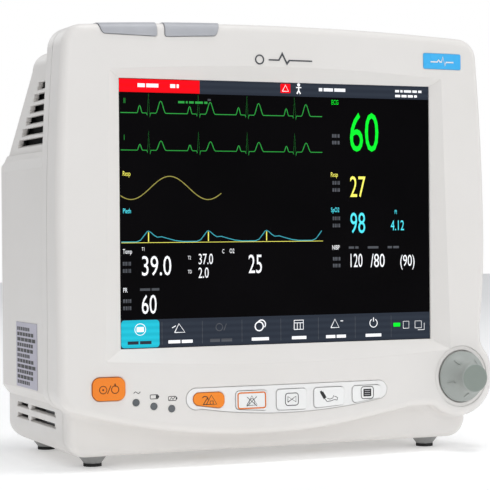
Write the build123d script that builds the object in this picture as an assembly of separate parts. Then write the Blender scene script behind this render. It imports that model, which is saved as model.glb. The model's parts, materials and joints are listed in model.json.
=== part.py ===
from build123d import *
import os

os.makedirs("parts", exist_ok=True)

# A bedside patient monitor, in millimetres.  The floor under its feet is z = 0, the four feet
# are centred on the origin, the screen faces -Y and +X is to the right of its user.

# ---- driving dimensions: front ----
screen_w = 207.3
screen_h = 159.4
screen_bottom = 70.8
side_margin = 39.4
top_margin = 34.0
top_sag = 3.7
side_taper = 5.6
waist_drop = 15.0
face_depth = 8.6
face_crown = 5.2
face_lean = 0.8
edge_round = 5.0
corner_round = 13.0
lip = 1.0
recess_side_slope = 2.1
recess_top_slope = 1.37
recess_bottom_slope = 1.22
chin_setback = 7.7
chin_half_w = 134.0
chin_round = 12.0
wave_left_z = 38.5
wave_low_z = 18.6
wave_right_z = 29.3

# ---- driving dimensions: case ----
foot_height = 7.0
foot_pitch_x = 226.0
foot_pitch_y = 94.0
front_overhang = 25.0
case_depth = 132.0
parting_depth = 16.0
rim_depth = 10.0
wall = 3.0
seal_gap = 0.6
body_half_w = 140.6
upper_half_w = 139.2
upper_taper = 4.6
ledge_drop = 51.7
ledge_rise = 10.0
upper_rise = 19.5
top_flat = 47.0
gap = 0.3

# ---- driving dimensions: controls ----
dial_in = 20.3
dial_z = 46.7
ear_r = 25.5
dial_r = 16.0
dial_tip_r = 8.3
dial_length = 17.5
dial_well_r = 16.7
dial_well = 2.2
dial_ring_w = 2.6
dial_ring_deep = 0.5
shaft_r = 3.0
bush_r = 4.5
dial_press = 0.6
running_fit = 0.05
key_travel = 1.0
key_proud = 1.0
key_gap = 0.35
key_round = 2.2
reset_key_round = 3.6
key_margin_top = 3.0
key_margin_low = 1.7
key_flange = 1.2
key_stem_r = 2.4
strip_gap = 0.25
strip_proud = 0.3
strip_thick = 1.6
strip_h = 17.2
light_r = 2.1
lens_h = 9.3
lens_gap = 0.25
lens_thick = 2.4
badge_w = 28.0
badge_h = 10.0
emblem_w = 38.0
rib_count = 5
rib_length = 5.5
rib_w = 1.2
rib_slope = 26.0
power_w = 19.6
power_h = 13.4

# ---- driving dimensions: feet, vents, inserts ----
foot_r = 9.2
foot_tip_r = 5.2
foot_screw = 8.0
pad_thick = 1.8
slot_count = 6
slot_pitch = 6.7
slot_open = 2.6
slot_y = 22.5
slot_short = 32.5
slot_growth = 7.4
slit_open = 2.2
insert_h = 9.0
insert_wall = 1.6
insert_pitch = 75.0
insert_r = 2.0
screw_r = 1.5

# ---- driving dimensions: rear and side fittings ----
battery_w = 84.0
battery_h = 40.0
battery_l = 78.0
bay_wall = 2.0
bay_gap = 0.4
door_thick = 2.6
door_border = 6.0
knuckle_h = 9.0
door_swing_r = 2.6
pin_r = 1.25
handle_w = 112.0
handle_h = 42.0
handle_sink = 12.0
handle_back = 56.0
grip_r = 7.5
grip_back = 18.0
grip_drop = 9.5
peg_depth = 2.0
panel_w = 112.0
panel_h = 46.0
panel_thick = 1.6
inlet_w = 24.4
inlet_h = 16.4
inlet_deep = 16.0
network_w = 12.0
network_h = 9.0
usb_w = 13.0
usb_h = 5.6
usb_pitch = 7.8
port_deep = 12.0
post_r = 3.0
post_proud = 12.0
socket_panel_y = 66.0
socket_panel_h = 84.0
socket_proud = 2.2
board_thick = 1.6
sheet = 1.5
glass_thick = 1.8
glass_grow = 4.0
display_thick = 8.0
display_grow = 9.0
display_frame_wall = 4.0

# ---- derived places ----
half_w = screen_w / 2 + side_margin
screen_top = screen_bottom + screen_h
screen_mid = screen_bottom + screen_h / 2
crest_z = screen_top + top_margin
shoulder_z = crest_z - top_sag
top_half_w = half_w - side_taper
waist_z = screen_mid - waist_drop
glass_y = -(front_overhang + foot_pitch_y / 2)
face_y = glass_y - face_depth
parting_y = glass_y + parting_depth
rear_y = glass_y + case_depth
chin_y = glass_y + chin_setback
dial_x = half_w - dial_in
floor_z = foot_height
seam_y = parting_y + seal_gap
ledge_z = screen_top - ledge_drop
upper_top_z = screen_top + upper_rise
far = 400.0


def block(x0, x1, y0, y1, z0, z1):
    return Pos((x0 + x1) / 2, (y0 + y1) / 2, (z0 + z1) / 2) * Box(x1 - x0, y1 - y0, z1 - z0)


def rod_x(x0, x1, y, z, r):
    return Pos((x0 + x1) / 2, y, z) * Rot(0, 90, 0) * Cylinder(r, x1 - x0)


def rod_y(y0, y1, x, z, r):
    return Pos(x, (y0 + y1) / 2, z) * Rot(90, 0, 0) * Cylinder(r, y1 - y0)


def rod_z(z0, z1, x, y, r):
    return Pos(x, y, (z0 + z1) / 2) * Cylinder(r, z1 - z0)


def front_plane(y):
    return Plane(origin=(0, y, 0), x_dir=(1, 0, 0), z_dir=(0, -1, 0))


def prism(outline, y0, y1):
    return extrude(front_plane(y1) * outline, amount=y1 - y0, dir=(0, -1, 0))


def sharp_rect(x0, x1, z0, z1):
    return Pos((x0 + x1) / 2, (z0 + z1) / 2) * Rectangle(x1 - x0, z1 - z0)


def rounded_rect(x0, x1, z0, z1, r):
    return Pos((x0 + x1) / 2, (z0 + z1) / 2) * RectangleRounded(x1 - x0, z1 - z0, r)


def rounded_polygon(corners):
    """A face from (a, b, radius) corners, in order."""
    face = make_face(Polyline(*[(a, b) for a, b, r in corners], close=True))
    for a, b, r in corners:
        if r > 0:
            near = [v for v in face.vertices() if abs(v.X - a) < 0.01 and abs(v.Y - b) < 0.01]
            face = fillet(near, r)
    return face


def grown(outline, amount):
    if amount == 0:
        return outline
    return offset(outline, amount=amount)


def save(shape, name):
    shape.label = name
    export_step(shape, "parts/" + name + ".step")


def group(pieces):
    return Compound(children=list(pieces))


# ---- the front's outline and its crowned, leaning face ----
def bezel_outline(grow):
    """The bezel seen from the front; grow moves the whole line outwards."""
    g = grow
    side = half_w + g
    quarter = side - side_taper / 4
    shoulder = shoulder_z + g
    top_half = top_half_w + g
    mid_z = (shoulder + waist_z) / 2
    corner_z = wave_left_z - 1 - g
    flat_z = wave_right_z - g
    neck = (side - 3.8, dial_z + 32)
    wave_end = (dial_x - 36.8, flat_z)
    wave_mid = (wave_end[0] / 2, wave_low_z + 3.3 - g)
    edges = [
        ThreePointArc((-top_half, shoulder), (0, crest_z + g), (top_half, shoulder)),
        ThreePointArc((top_half, shoulder), (quarter, mid_z), (side, waist_z)),
        ThreePointArc((side, waist_z), (side - 1, (waist_z + neck[1]) / 2), neck),
        Line(neck, (neck[0], flat_z)),
        Line((neck[0], flat_z), wave_end),
        ThreePointArc(wave_end, (wave_end[0] * 0.75, flat_z - 3.8), wave_mid),
        ThreePointArc(wave_mid, (-41.4, wave_low_z - g), (-side, corner_z)),
        Line((-side, corner_z), (-side, waist_z)),
        ThreePointArc((-side, waist_z), (-quarter, mid_z), (-top_half, shoulder)),
    ]
    face = make_face(edges)
    top_corners = [v for v in face.vertices() if v.Y > shoulder - 1]
    face = fillet(top_corners, corner_round + g)
    low_corner = [v for v in face.vertices() if v.X < -side + 5 and v.Y < wave_left_z + 20]
    face = fillet(low_corner, corner_round + g)
    face += Pos(dial_x, dial_z) * Circle(ear_r + g)
    for high, r in ((True, 14), (False, 8)):
        joins = [v for v in face.vertices() if on_ear(v, ear_r + g) and (v.Y > dial_z) == high]
        face = fillet(joins, r - g)
    return face


def on_ear(v, r):
    return abs(((v.X - dial_x) ** 2 + (v.Y - dial_z) ** 2) ** 0.5 - r) < 0.05


def chin_outline(grow):
    half = chin_half_w + grow
    low = floor_z - grow
    top = wave_left_z + 12
    face = Pos(0, (low + top) / 2) * Rectangle(2 * half, top - low)
    return fillet([v for v in face.vertices() if v.Y < low + 1], chin_round + grow)


def face_block(depth):
    """Everything behind the crowned front surface, moved back by depth."""
    reach = half_w * 1.3
    side_y = -face_depth + face_crown * 1.69 + depth
    mid_y = -face_depth + depth
    edges = [
        ThreePointArc((-reach, side_y), (0, mid_y), (reach, side_y)),
        Polyline((reach, side_y), (reach, 60), (-reach, 60), (-reach, side_y)),
    ]
    solid = extrude(make_face(edges), amount=far, both=True)
    return Pos(0, glass_y, screen_mid) * Rot(-face_lean, 0, 0) * solid


def slab(outline, depth0, depth1):
    """A plate that follows the front surface, from depth0 to depth1 behind it."""
    column = prism(outline, glass_y - 30, parting_y + 20)
    return (column & face_block(depth0)) - face_block(depth1)


def full_outline(grow):
    return bezel_outline(grow) + chin_outline(grow)


def bezel_form(grow, y1):
    column = prism(bezel_outline(grow), glass_y - 30, y1)
    solid = column & face_block(-grow)
    front = solid.faces().sort_by(Axis.Y)[0]
    return fillet(front.edges(), edge_round + grow)


def chin_form(grow, y1):
    solid = prism(chin_outline(grow), chin_y - grow, y1)
    if grow < 0:
        return solid
    front = solid.faces().sort_by(Axis.Y)[0]
    low = [e for e in front.edges() if e.center().Z < wave_left_z]
    return fillet(low, 4)


def recess(grow):
    """The pyramid in front of the screen: straight lip, then four chamfered sides."""
    reach = 15.0
    near = sharp_rect(-screen_w / 2 - grow, screen_w / 2 + grow,
                      screen_bottom - grow, screen_top + grow)
    side = screen_w / 2 + grow + reach * recess_side_slope
    high = screen_top + grow + reach * recess_top_slope
    low = screen_bottom - grow - reach * recess_bottom_slope
    wide = sharp_rect(-side, side, low, high)
    y0 = glass_y - lip
    cone = loft([front_plane(y0) * near, front_plane(y0 - reach) * wide], ruled=True)
    return cone + prism(near, y0, glass_y)


# ---- outlines of the controls ----
strip_top = screen_bottom - 23.8
strip_low = strip_top - strip_h
strip_mid_x = 3.0
strip_reach = 60.0
strip_rise = 4.8


def strip_outline():
    left = strip_mid_x - strip_reach
    right = strip_mid_x + strip_reach
    edges = [
        Line((left - 3, strip_top), (right - 1, strip_top)),
        ThreePointArc((right - 1, strip_top), (right + 5, strip_top - 5.6), (right + 0.6, strip_top - 11.5)),
        ThreePointArc((right + 0.6, strip_top - 11.5), (strip_mid_x, strip_low), (left, strip_top - 12.7)),
        ThreePointArc((left, strip_top - 12.7), (left - 9, strip_top - 6.6), (left - 3, strip_top)),
    ]
    return make_face(edges)


key_spans = {
    "alarm_reset_key": (-61.5, -42.0, reset_key_round),
    "alarm_pause_key": (-34.5, -14.2, key_round),
    "freeze_key": (-8.0, 12.0, key_round),
    "cuff_key": (17.0, 37.5, key_round),
    "menu_key": (43.4, 63.0, key_round),
}


def key_outline(x0, x1, r):
    """A key whose lower edge follows the sag of the strip."""
    low0, low1 = [strip_low + key_margin_low + strip_rise * ((x - strip_mid_x) / strip_reach) ** 2
                  for x in (x0, x1)]
    high = strip_top - key_margin_top
    return rounded_polygon([(x0, low0, r), (x1, low1, r), (x1, high, r), (x0, high, r)])


power_outline = rounded_rect(dial_x * -1 - 0.4, dial_x * -1 - 0.4 + power_w,
                             strip_top - 5.4, strip_top - 5.4 + power_h, 4.5)
key_outlines = {name: key_outline(*span) for name, span in key_spans.items()}
key_outlines["power_key"] = power_outline
lights = [(-96.8, strip_top - 7.2), (-85.9, strip_top - 9.8), (-74.9, strip_top - 11.6)]

lens_low = crest_z - lens_h
lens_x = (-half_w + 25.2, -half_w + 61.8, -half_w + 66.9, -half_w + 102.0)
lens_top = crest_z + 12
lens_corners = {
    "alarm_lens_left": [
        (lens_x[0] + 3.4, lens_low + 0.8, 2.6), (lens_x[1], lens_low, 1.2),
        (lens_x[1], lens_top, 0), (lens_x[0] - 3.6, lens_top, 0),
    ],
    "alarm_lens_right": [
        (lens_x[2], lens_low, 1.2), (lens_x[3] - 3.0, lens_low + 1.4, 2.6),
        (lens_x[3] + 3.6, lens_top, 0), (lens_x[2], lens_top, 0),
    ],
}


def lens_zone(corners, grow):
    outline = grown(rounded_polygon(corners), grow)
    return prism(outline, glass_y - 30, glass_y + 8 + grow)


badge_x0 = half_w - 45.6
badge_z0 = screen_top + 10.8
badge = rounded_rect(badge_x0, badge_x0 + badge_w, badge_z0, badge_z0 + badge_h, 1.2)
emblem_half = emblem_w / 2
emblem_z = screen_top + 12.8


# ---- the rear case's forms ----
def side_prism(corners):
    return extrude(Plane.YZ * rounded_polygon(corners), amount=far, both=True, dir=(1, 0, 0))


def mirrored(right_half):
    """Corners of the right side, bottom to top, with the left side added."""
    return right_half + [(-a, b, r) for a, b, r in reversed(right_half)]


def rear_form(grow, y0):
    """The rear case's outside at grow = 0, its inside at grow = -wall."""
    g = grow
    low = floor_z - g
    top = upper_top_z + g
    back = rear_y + g
    shelf_z = ledge_z + ledge_rise
    main = mirrored([
        (chin_half_w + g, low, chin_round + g), (chin_half_w + g, floor_z + 29.5, 0),
        (body_half_w + g, floor_z + 36.5, 0), (body_half_w + g, ledge_z, 0),
        (upper_half_w - 0.4 + g, ledge_z + 6.5, 0), (upper_half_w - 0.4 + g, shelf_z + g, 0),
    ])
    main_side = [
        (y0, low, 0), (back - 2, low, 12 + g), (back - 2, floor_z + 29.5, 0),
        (back, floor_z + 36.5, 0), (back, ledge_z, 0),
        (back - 18, shelf_z + g, 0), (y0, shelf_z + g, 0),
    ]
    upper = mirrored([
        (upper_half_w + g, ledge_z - 20, 0), (upper_half_w - upper_taper + g, top, 9 + g),
    ])
    crown_y = glass_y + top_flat + 19 + g
    upper_side = [
        (y0, ledge_z - 10, 0), (back - 18, ledge_z - 10, 0), (back - 18, shelf_z, 0),
        (crown_y + 3, top - 12, 10), (crown_y - 3, top, 8), (y0, top, 0),
    ]
    plan = make_face(Polyline(
        (-body_half_w - g, y0), (body_half_w + g, y0), (body_half_w + g, back),
        (-body_half_w - g, back), close=True))
    plan = fillet([v for v in plan.vertices() if v.Y > y0 + 1], 12 + g)
    body = prism(rounded_polygon(main), y0, rear_y + 20) & side_prism(main_side)
    body = body & extrude(plan, amount=far, both=True)
    hump = prism(rounded_polygon(upper), y0, rear_y + 20) & side_prism(upper_side)
    rim = prism(full_outline(g), y0, seam_y + rim_depth + g)
    return body + hump + rim


handle_low = ledge_z + handle_sink
handle_top = handle_low + handle_h
handle_y0 = glass_y + handle_back


def handle_pocket(grow):
    return block(-handle_w / 2 - grow, handle_w / 2 + grow, handle_y0 - grow, rear_y + 20,
                 handle_low - grow, handle_top + grow)


battery_x0 = -114.0
battery_z0 = floor_z + 56
door_x0 = battery_x0 - 9
door_x1 = battery_x0 + battery_w + 7
door_z0 = battery_z0 - door_border
door_z1 = battery_z0 + battery_h + door_border
door_well = door_swing_r * 2 + 0.4


def door_pocket(grow):
    return block(door_x0 - grow, door_x1 + grow, rear_y - door_well - grow, rear_y + 20,
                 door_z0 - grow, door_z1 + grow)


def bay_opening(clear):
    return block(battery_x0 - clear, battery_x0 + battery_w + clear, rear_y - 30, rear_y + 20,
                 battery_z0 - clear, battery_z0 + battery_h + clear)


panel_x0 = 4.0
panel_z0 = battery_z0 - 2
socket_z0 = floor_z + 58
socket_y0 = glass_y + 34


def upper_side_x(z):
    """Half the width of the tapered upper case at height z."""
    foot = ledge_z - 20
    return upper_half_w - upper_taper * (z - foot) / (upper_top_z - foot)


def louvre(side, x, y0, y1, z, opening, slope):
    """A slot through a side wall at x, with a sloped lower lip; side is -1 or +1."""
    inner = side * (x - wall - 11)
    outer = side * (x + 1)
    low = z - opening / 2
    slot = block(min(outer, inner), max(outer, inner), y0, y1, low, z + opening / 2)
    lip_corners = [
        (side * (x + 3), low - slope * 8.2), (side * (x - 5.2), low + 0.1), (side * (x + 3), low + 0.1),
    ]
    return slot + prism(make_face(Polyline(*lip_corners, close=True)), y0 - 1.5, y1 + 1.5)


def vent_cuts(side):
    cuts = []
    for i in range(slot_count):
        z = screen_top - 0.5 - i * slot_pitch
        y0 = glass_y + slot_y
        y1 = y0 + slot_short + i * slot_growth
        cuts.append(louvre(side, upper_side_x(z), y0, y1, z, slot_open, 0.43))
    return cuts


def slit_cuts(side):
    cuts = []
    for z in (floor_z + 24.5, floor_z + 17.5):
        for y0, y1 in ((32, 81), (88, 111)):
            cuts.append(louvre(side, chin_half_w, glass_y + y0, glass_y + y1, z, slit_open, 0.2))
    return cuts


feet = [(sx * foot_pitch_x / 2, sy * foot_pitch_y / 2) for sx in (-1, 1) for sy in (-1, 1)]
insert_places = [(sx * insert_pitch / 2, sy * insert_pitch / 2) for sx in (-1, 1) for sy in (-1, 1)]
grip_y = handle_y0 + grip_back
grip_z = handle_top - grip_drop
hinge_x = door_x0 + door_swing_r + 0.4
hinge_y = rear_y - door_swing_r
knuckles = [(door_z0, door_z0 + knuckle_h), (door_z1 - knuckle_h, door_z1)]
screw_x = body_half_w - 12.6
rear_screws = [(x, z) for x in (-screw_x, screw_x) for z in (floor_z + 46, ledge_z - 8)]


def make_front_case():
    shell = bezel_form(0, parting_y) + chin_form(0, parting_y)
    inner = [e for e in shell.edges() if abs(e.center().Y - chin_y) < 0.5
             and wave_low_z - 8 < e.center().Z < wave_left_z + 8]
    shell = fillet(inner, 4)
    core = bezel_form(-wall, parting_y + 1) + chin_form(-wall, parting_y + 1)
    well = recess(wall) + block(-screen_w / 2 - 6, screen_w / 2 + 6, glass_y - lip - 1.5, glass_y,
                                screen_bottom - 6, screen_top + 6)
    well = well & bezel_form(-0.5, parting_y)
    case = (shell - core) + well
    case -= recess(0)
    case -= rod_y(glass_y - 30, parting_y, dial_x, dial_z, bush_r + 0.15)
    well_floor = slab(Pos(dial_x, dial_z) * Circle(dial_well_r + wall), 0.5, dial_well + wall)
    case += well_floor - rod_y(glass_y - 30, parting_y, dial_x, dial_z, bush_r + 0.15)
    case -= slab(Pos(dial_x, dial_z) * Circle(dial_well_r), -10, dial_well)
    case -= slab(Pos(dial_x, dial_z) * Circle(dial_well_r + dial_ring_w), -10, dial_ring_deep)
    case -= slab(strip_outline(), -5, strip_thick - strip_proud)
    for outline in key_outlines.values():
        case -= slab(grown(outline, key_gap), -5, wall + 2)
    for x, z in lights:
        case -= rod_y(glass_y - 30, glass_y, x, z, light_r + 0.1)
    for corners in lens_corners.values():
        case -= lens_zone(corners, lens_gap)
    case -= slab(badge, -5, 0.6)
    return case


def make_strip():
    strip = slab(grown(strip_outline(), -strip_gap), -strip_proud, strip_thick - strip_proud)
    for outline in key_outlines.values():
        strip -= slab(grown(outline, key_gap), -5, wall + 2)
    return strip


switch_front = glass_y - 0.2
board_y = glass_y + 2.4


def key_centre(outline):
    c = outline.bounding_box().center()
    return c.X, c.Y


def make_key(outline):
    """A key cap that follows the face, a flange that keeps it in, and a stem to its switch."""
    cap = slab(outline, -key_proud, wall + 1.2)
    flange = slab(grown(outline, key_flange), wall + 0.2, wall + 1.2)
    x, z = key_centre(outline)
    stem = rod_y(face_y + 2, switch_front - key_travel - 0.15, x, z, key_stem_r) & face_block(wall + 0.5)
    return cap + flange + stem


def make_lens(corners):
    shell = bezel_form(0.6, parting_y) - bezel_form(-lens_thick, parting_y + 1)
    return (shell & lens_zone(corners, 0)).solids().sort_by(SortBy.VOLUME)[-1]


# ---- front pieces ----
front_case = make_front_case()
save(front_case, "front_case")
save(make_strip(), "key_strip")
for name, outline in key_outlines.items():
    save(make_key(outline), name)
for name, corners in lens_corners.items():
    save(make_lens(corners), name)

pipes = [rod_y(glass_y - 30, board_y - board_thick / 2, x, z, light_r) & face_block(-0.15) for x, z in lights]
save(group(pipes), "indicator_lights")

save(slab(grown(badge, -0.1), -0.2, 0.6), "badge_plate")

emblem_ring = Pos(-emblem_half + 3, emblem_z) * (Circle(3.0) - Circle(2.2))
emblem_line = make_face(Polyline(
    (-emblem_half + 9, emblem_z - 0.4), (-emblem_half + 16, emblem_z - 0.4),
    (-emblem_half + 18, emblem_z + 3), (-emblem_half + 21, emblem_z - 3),
    (-emblem_half + 23, emblem_z - 0.4), (emblem_half, emblem_z - 0.4),
    (emblem_half, emblem_z + 0.4), (-emblem_half + 22.4, emblem_z + 0.4),
    (-emblem_half + 21.1, emblem_z - 1.1), (-emblem_half + 18, emblem_z + 5),
    (-emblem_half + 15.5, emblem_z + 0.4), (-emblem_half + 9, emblem_z + 0.4), close=True))
save(group([slab(emblem_ring, -0.25, 0), slab(emblem_line, -0.25, 0)]), "emblem")



def behind_screen(grow, y0, y1):
    """A plate behind the screen that reaches grow past the picture on every side."""
    return block(-screen_w / 2 - grow, screen_w / 2 + grow, y0, y1, screen_bottom - grow, screen_top + grow)


lcd_y0 = glass_y + glass_thick
lcd_y1 = lcd_y0 + display_thick
save(behind_screen(glass_grow, glass_y, lcd_y0), "screen_glass")
save(behind_screen(display_grow, lcd_y0, lcd_y1), "display_module")
frame_grow = display_grow + display_frame_wall
frame = behind_screen(frame_grow, lcd_y0, lcd_y1 + 2)
frame -= behind_screen(display_grow + 0.2, lcd_y0 - 1, lcd_y1 + 0.2)
save(frame - behind_screen(-12, lcd_y1 - 1, lcd_y1 + 5), "display_frame")

lens_board = block(-half_w + 28, -half_w + 100, glass_y + 1.5, glass_y + 9, lens_low - board_thick, lens_low)
board_dots = [block(-half_w + 34 + i * 12, -half_w + 38 + i * 12, glass_y + 2.5, glass_y + 6,
                    lens_low, lens_low + 1.4) for i in range(6)]
for dot in board_dots:
    lens_board += dot
save(lens_board, "alarm_light_board")

keypad_left = -dial_x + 0.75
keypad_step = strip_mid_x - strip_reach - 1
keypad_y1 = board_y + board_thick
keypad = block(keypad_left, keypad_step, board_y, keypad_y1, strip_top - 10.5, strip_top + 9)
keypad += block(keypad_left + 22, keypad_step, board_y, keypad_y1, strip_top - 14.5, strip_top)
keypad += block(keypad_step, strip_mid_x + strip_reach + 3, board_y, keypad_y1, strip_low + 3.5, strip_top + 3)
save(keypad, "keypad_board")
switches = []
for outline in key_outlines.values():
    x, z = key_centre(outline)
    base = block(x - 3, x + 3, switch_front + 0.6, board_y, z - 3, z + 3)
    switches.append(base + rod_y(switch_front, switch_front + 1, x, z, 1.7))
save(group(switches), "key_switches")

# ---- rotary dial ----
dial_face_y = (face_y + face_crown * (dial_x / half_w) ** 2 - 1.45)
encoder_y0 = dial_face_y + dial_well + wall + 0.9
cavity_r = 5.2
bush_bore = shaft_r + running_fit
encoder_y1 = encoder_y0 + 8
cavity_y0 = encoder_y0 + 1.6
cavity_y1 = encoder_y1 - 1.4
encoder = block(dial_x - 7, dial_x + 7, encoder_y0, encoder_y1, dial_z - 7, dial_z + 7)
bush_y0 = dial_face_y - 2.2
encoder += rod_y(bush_y0, encoder_y0, dial_x, dial_z, bush_r)
encoder -= rod_y(bush_y0 - 1, cavity_y0, dial_x, dial_z, bush_bore)
encoder -= rod_y(cavity_y0, cavity_y1, dial_x, dial_z, cavity_r)
save(encoder, "encoder_body")
nut_y0 = bush_y0 + 0.6
nut = prism(Pos(dial_x, dial_z) * RegularPolygon(7, 6), nut_y0, nut_y0 + 2.0)
nut -= rod_y(nut_y0 - 1, nut_y0 + 3, dial_x, dial_z, bush_r)
save(nut, "encoder_nut")
flange_y1 = cavity_y0 + gap + 1.2
plunger_y0 = flange_y1 + 0.1
save(rod_y(plunger_y0, cavity_y1 - dial_press - gap, dial_x, dial_z, cavity_r - gap), "encoder_plunger")
shaft_y0 = dial_face_y - dial_length + 4
shaft = rod_y(shaft_y0, flange_y1, dial_x, dial_z, shaft_r)
shaft += rod_y(cavity_y0 + gap, flange_y1, dial_x, dial_z, cavity_r - gap)
save(shaft, "encoder_shaft")


def make_dial():
    y0 = dial_face_y + dial_well - dial_press - 1.6
    tip = dial_face_y - dial_length
    skirt_y = dial_face_y - 1.6
    profile = [
        Line((0, y0), (dial_r, y0)),
        Line((dial_r, y0), (dial_r, skirt_y)),
        ThreePointArc((dial_r, skirt_y), (dial_tip_r + 3.0, dial_face_y - 6.4),
                      (dial_tip_r + 0.9, tip + 1.6)),
        ThreePointArc((dial_tip_r + 0.9, tip + 1.6), (dial_tip_r + 0.3, tip + 0.4), (dial_tip_r - 0.9, tip)),
        Line((dial_tip_r - 0.9, tip), (0, tip)),
        Line((0, tip), (0, y0)),
    ]
    body = revolve(make_face(profile), Axis.Y)
    rib = Pos(dial_tip_r + 2.6, dial_face_y - 6.2, 0) * Rot(0, 0, -rib_slope) * Box(2.2, rib_length, rib_w)
    for i in range(rib_count):
        body += Rot(0, 360 / rib_count * i - 53, 0) * rib
    body = Pos(dial_x, 0, dial_z) * body
    body -= rod_y(nut_y0 - 3.4, y0 + 1, dial_x, dial_z, 8.4)
    body -= rod_y(shaft_y0, y0 + 1, dial_x, dial_z, shaft_r)
    return body


save(make_dial(), "dial_knob")

# ---- rear case, seal ----
seal = prism(full_outline(-0.7), parting_y, seam_y) - prism(full_outline(-2.4), parting_y - 1, seam_y + 1)
save(seal, "case_seal")


def grip_pegs():
    """The thinner ends of the grip, which sit in the pocket's two side walls."""
    reach = handle_w / 2 + peg_depth
    return rod_x(-reach, reach, grip_y, grip_z, grip_r - 3)


def make_rear_case():
    outside = rear_form(0, seam_y)
    inside = rear_form(-wall, seam_y - 1)
    inside -= handle_pocket(wall)
    inside -= door_pocket(wall)
    case = outside - inside
    case -= handle_pocket(0)
    case -= door_pocket(0)
    case -= bay_opening(bay_gap)
    case -= block(panel_x0, panel_x0 + panel_w, rear_y - 12, rear_y + 5, panel_z0, panel_z0 + panel_h)
    case -= block(body_half_w - 8, body_half_w + 5, socket_y0, socket_y0 + socket_panel_y,
                  socket_z0, socket_z0 + socket_panel_h)
    for side in (-1, 1):
        for cut in vent_cuts(side) + slit_cuts(side):
            case -= cut
    for x, y in feet:
        boss = rod_z(floor_z, floor_z + 12, x, y, foot_r + 0.6)
        case += boss & block(-chin_half_w, chin_half_w, seam_y, rear_y, floor_z, floor_z + 12)
        case -= rod_z(floor_z - 1, floor_z + foot_screw + 1, x, y, screw_r)
    for x, y in insert_places:
        case += rod_z(floor_z + 1, floor_z + insert_h + 2, x, y, insert_r + insert_wall + wall - 0.1)
        case -= rod_z(floor_z - 1, floor_z + insert_h, x, y, insert_r + insert_wall)
    for x, z in rear_screws:
        case -= rod_y(rear_y - 8, rear_y + 1, x, z, screw_r + 0.2)
        case -= rod_y(rear_y - 1.6, rear_y + 1, x, z, screw_r * 2 + 0.3)
    case -= grip_pegs()
    for z0, z1 in knuckles:
        ear = rod_z(z0, z1, hinge_x, hinge_y, door_swing_r)
        ear += block(door_x0 - 1, hinge_x, hinge_y - door_swing_r, hinge_y + 0.5, z0, z1)
        case += ear
        case -= rod_z(z0 - 0.01, z1 + 0.01, hinge_x, hinge_y, pin_r)
    return case


rear_case = make_rear_case()
save(rear_case, "rear_case")

# ---- feet, inserts, screws ----
cones = [Pos(x, y, (pad_thick + floor_z) / 2) * Cone(foot_tip_r, foot_r, floor_z - pad_thick)
         + rod_z(floor_z, floor_z + foot_screw, x, y, screw_r - 0.05) for x, y in feet]
save(group(cones), "feet")
save(group([rod_z(0, pad_thick, x, y, foot_tip_r + 0.3) for x, y in feet]), "foot_pads")
inserts = [rod_z(floor_z, floor_z + insert_h, x, y, insert_r + insert_wall)
           - rod_z(floor_z - 1, floor_z + insert_h, x, y, insert_r) for x, y in insert_places]
save(group(inserts), "base_inserts")
heads = [rod_y(rear_y - 1.6, rear_y - 0.3, x, z, screw_r * 2) + rod_y(rear_y - 8, rear_y - 1.5, x, z, screw_r)
         for x, z in rear_screws]
slots = [block(x - 2, x + 2, rear_y - 1.0, rear_y, z - 0.4, z + 0.4)
         + block(x - 0.4, x + 0.4, rear_y - 1.0, rear_y, z - 2, z + 2) for x, z in rear_screws]
save(group([h - s for h, s in zip(heads, slots)]), "case_screws")

# ---- handle ----
save(rod_x(-handle_w / 2, handle_w / 2, grip_y, grip_z, grip_r) + grip_pegs(), "handle_grip")

# ---- label on the left side ----
label_y0 = glass_y + 45
label_z0 = floor_z + 37.5
save(block(-body_half_w - 0.4, -body_half_w, label_y0, label_y0 + 44, label_z0, label_z0 + 40), "side_label")

# ---- battery, its bay and its door ----
bay_y0 = rear_y - door_well - wall - battery_l - 6
bay_y1 = rear_y - door_well - wall
shell_gap = bay_gap + bay_wall
bay = block(battery_x0 - shell_gap, battery_x0 + battery_w + shell_gap, bay_y0, bay_y1,
            battery_z0 - shell_gap, battery_z0 + battery_h + shell_gap)
bay -= block(battery_x0 - bay_gap, battery_x0 + battery_w + bay_gap, bay_y0 + bay_wall, bay_y1 + 1,
             battery_z0 - bay_gap, battery_z0 + battery_h + bay_gap)
save(bay, "battery_bay")
save(block(battery_x0, battery_x0 + battery_w, bay_y0 + 4.4, bay_y0 + 4.4 + battery_l,
           battery_z0, battery_z0 + battery_h), "battery_pack")
contacts = [block(battery_x0 + 20 + 11 * i, battery_x0 + 24 + 11 * i, bay_y0 + bay_wall, bay_y0 + 4.3,
                  battery_z0 + 10, battery_z0 + 26) for i in range(5)]
save(group(contacts), "battery_contacts")


def make_door():
    plate = block(hinge_x + door_swing_r - 1.2, door_x1 - 0.6, rear_y - door_thick, rear_y,
                  door_z0 + 0.5, door_z1 - 0.5)
    k0 = knuckles[0][1] + gap
    k1 = knuckles[1][0] - gap
    for z0, z1 in knuckles:
        plate -= rod_z(z0 - 1, z1 + gap, hinge_x, hinge_y, door_swing_r + 0.4)
        plate -= block(hinge_x, hinge_x + door_swing_r + 0.5, rear_y - 6, rear_y + 1, z0 - 1, z1 + gap)
    plate += rod_z(k0, k1, hinge_x, hinge_y, door_swing_r)
    plate -= rod_z(k0 - 1, k1 + 1, hinge_x, hinge_y, pin_r + running_fit)
    notch_z = (door_z0 + door_z1) / 2
    plate -= rod_z(notch_z - 9, notch_z + 9, door_x1 + 2, rear_y + 2.4, 6)
    for i in range(4):
        z = notch_z - 9 + 6 * i
        plate -= block(hinge_x + 14, door_x1 - 22, rear_y - 0.7, rear_y + 1, z - 0.8, z + 0.8)
    return plate


save(make_door(), "battery_door")
save(rod_z(door_z0, door_z1, hinge_x, hinge_y, pin_r), "door_hinge_pin")

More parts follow.
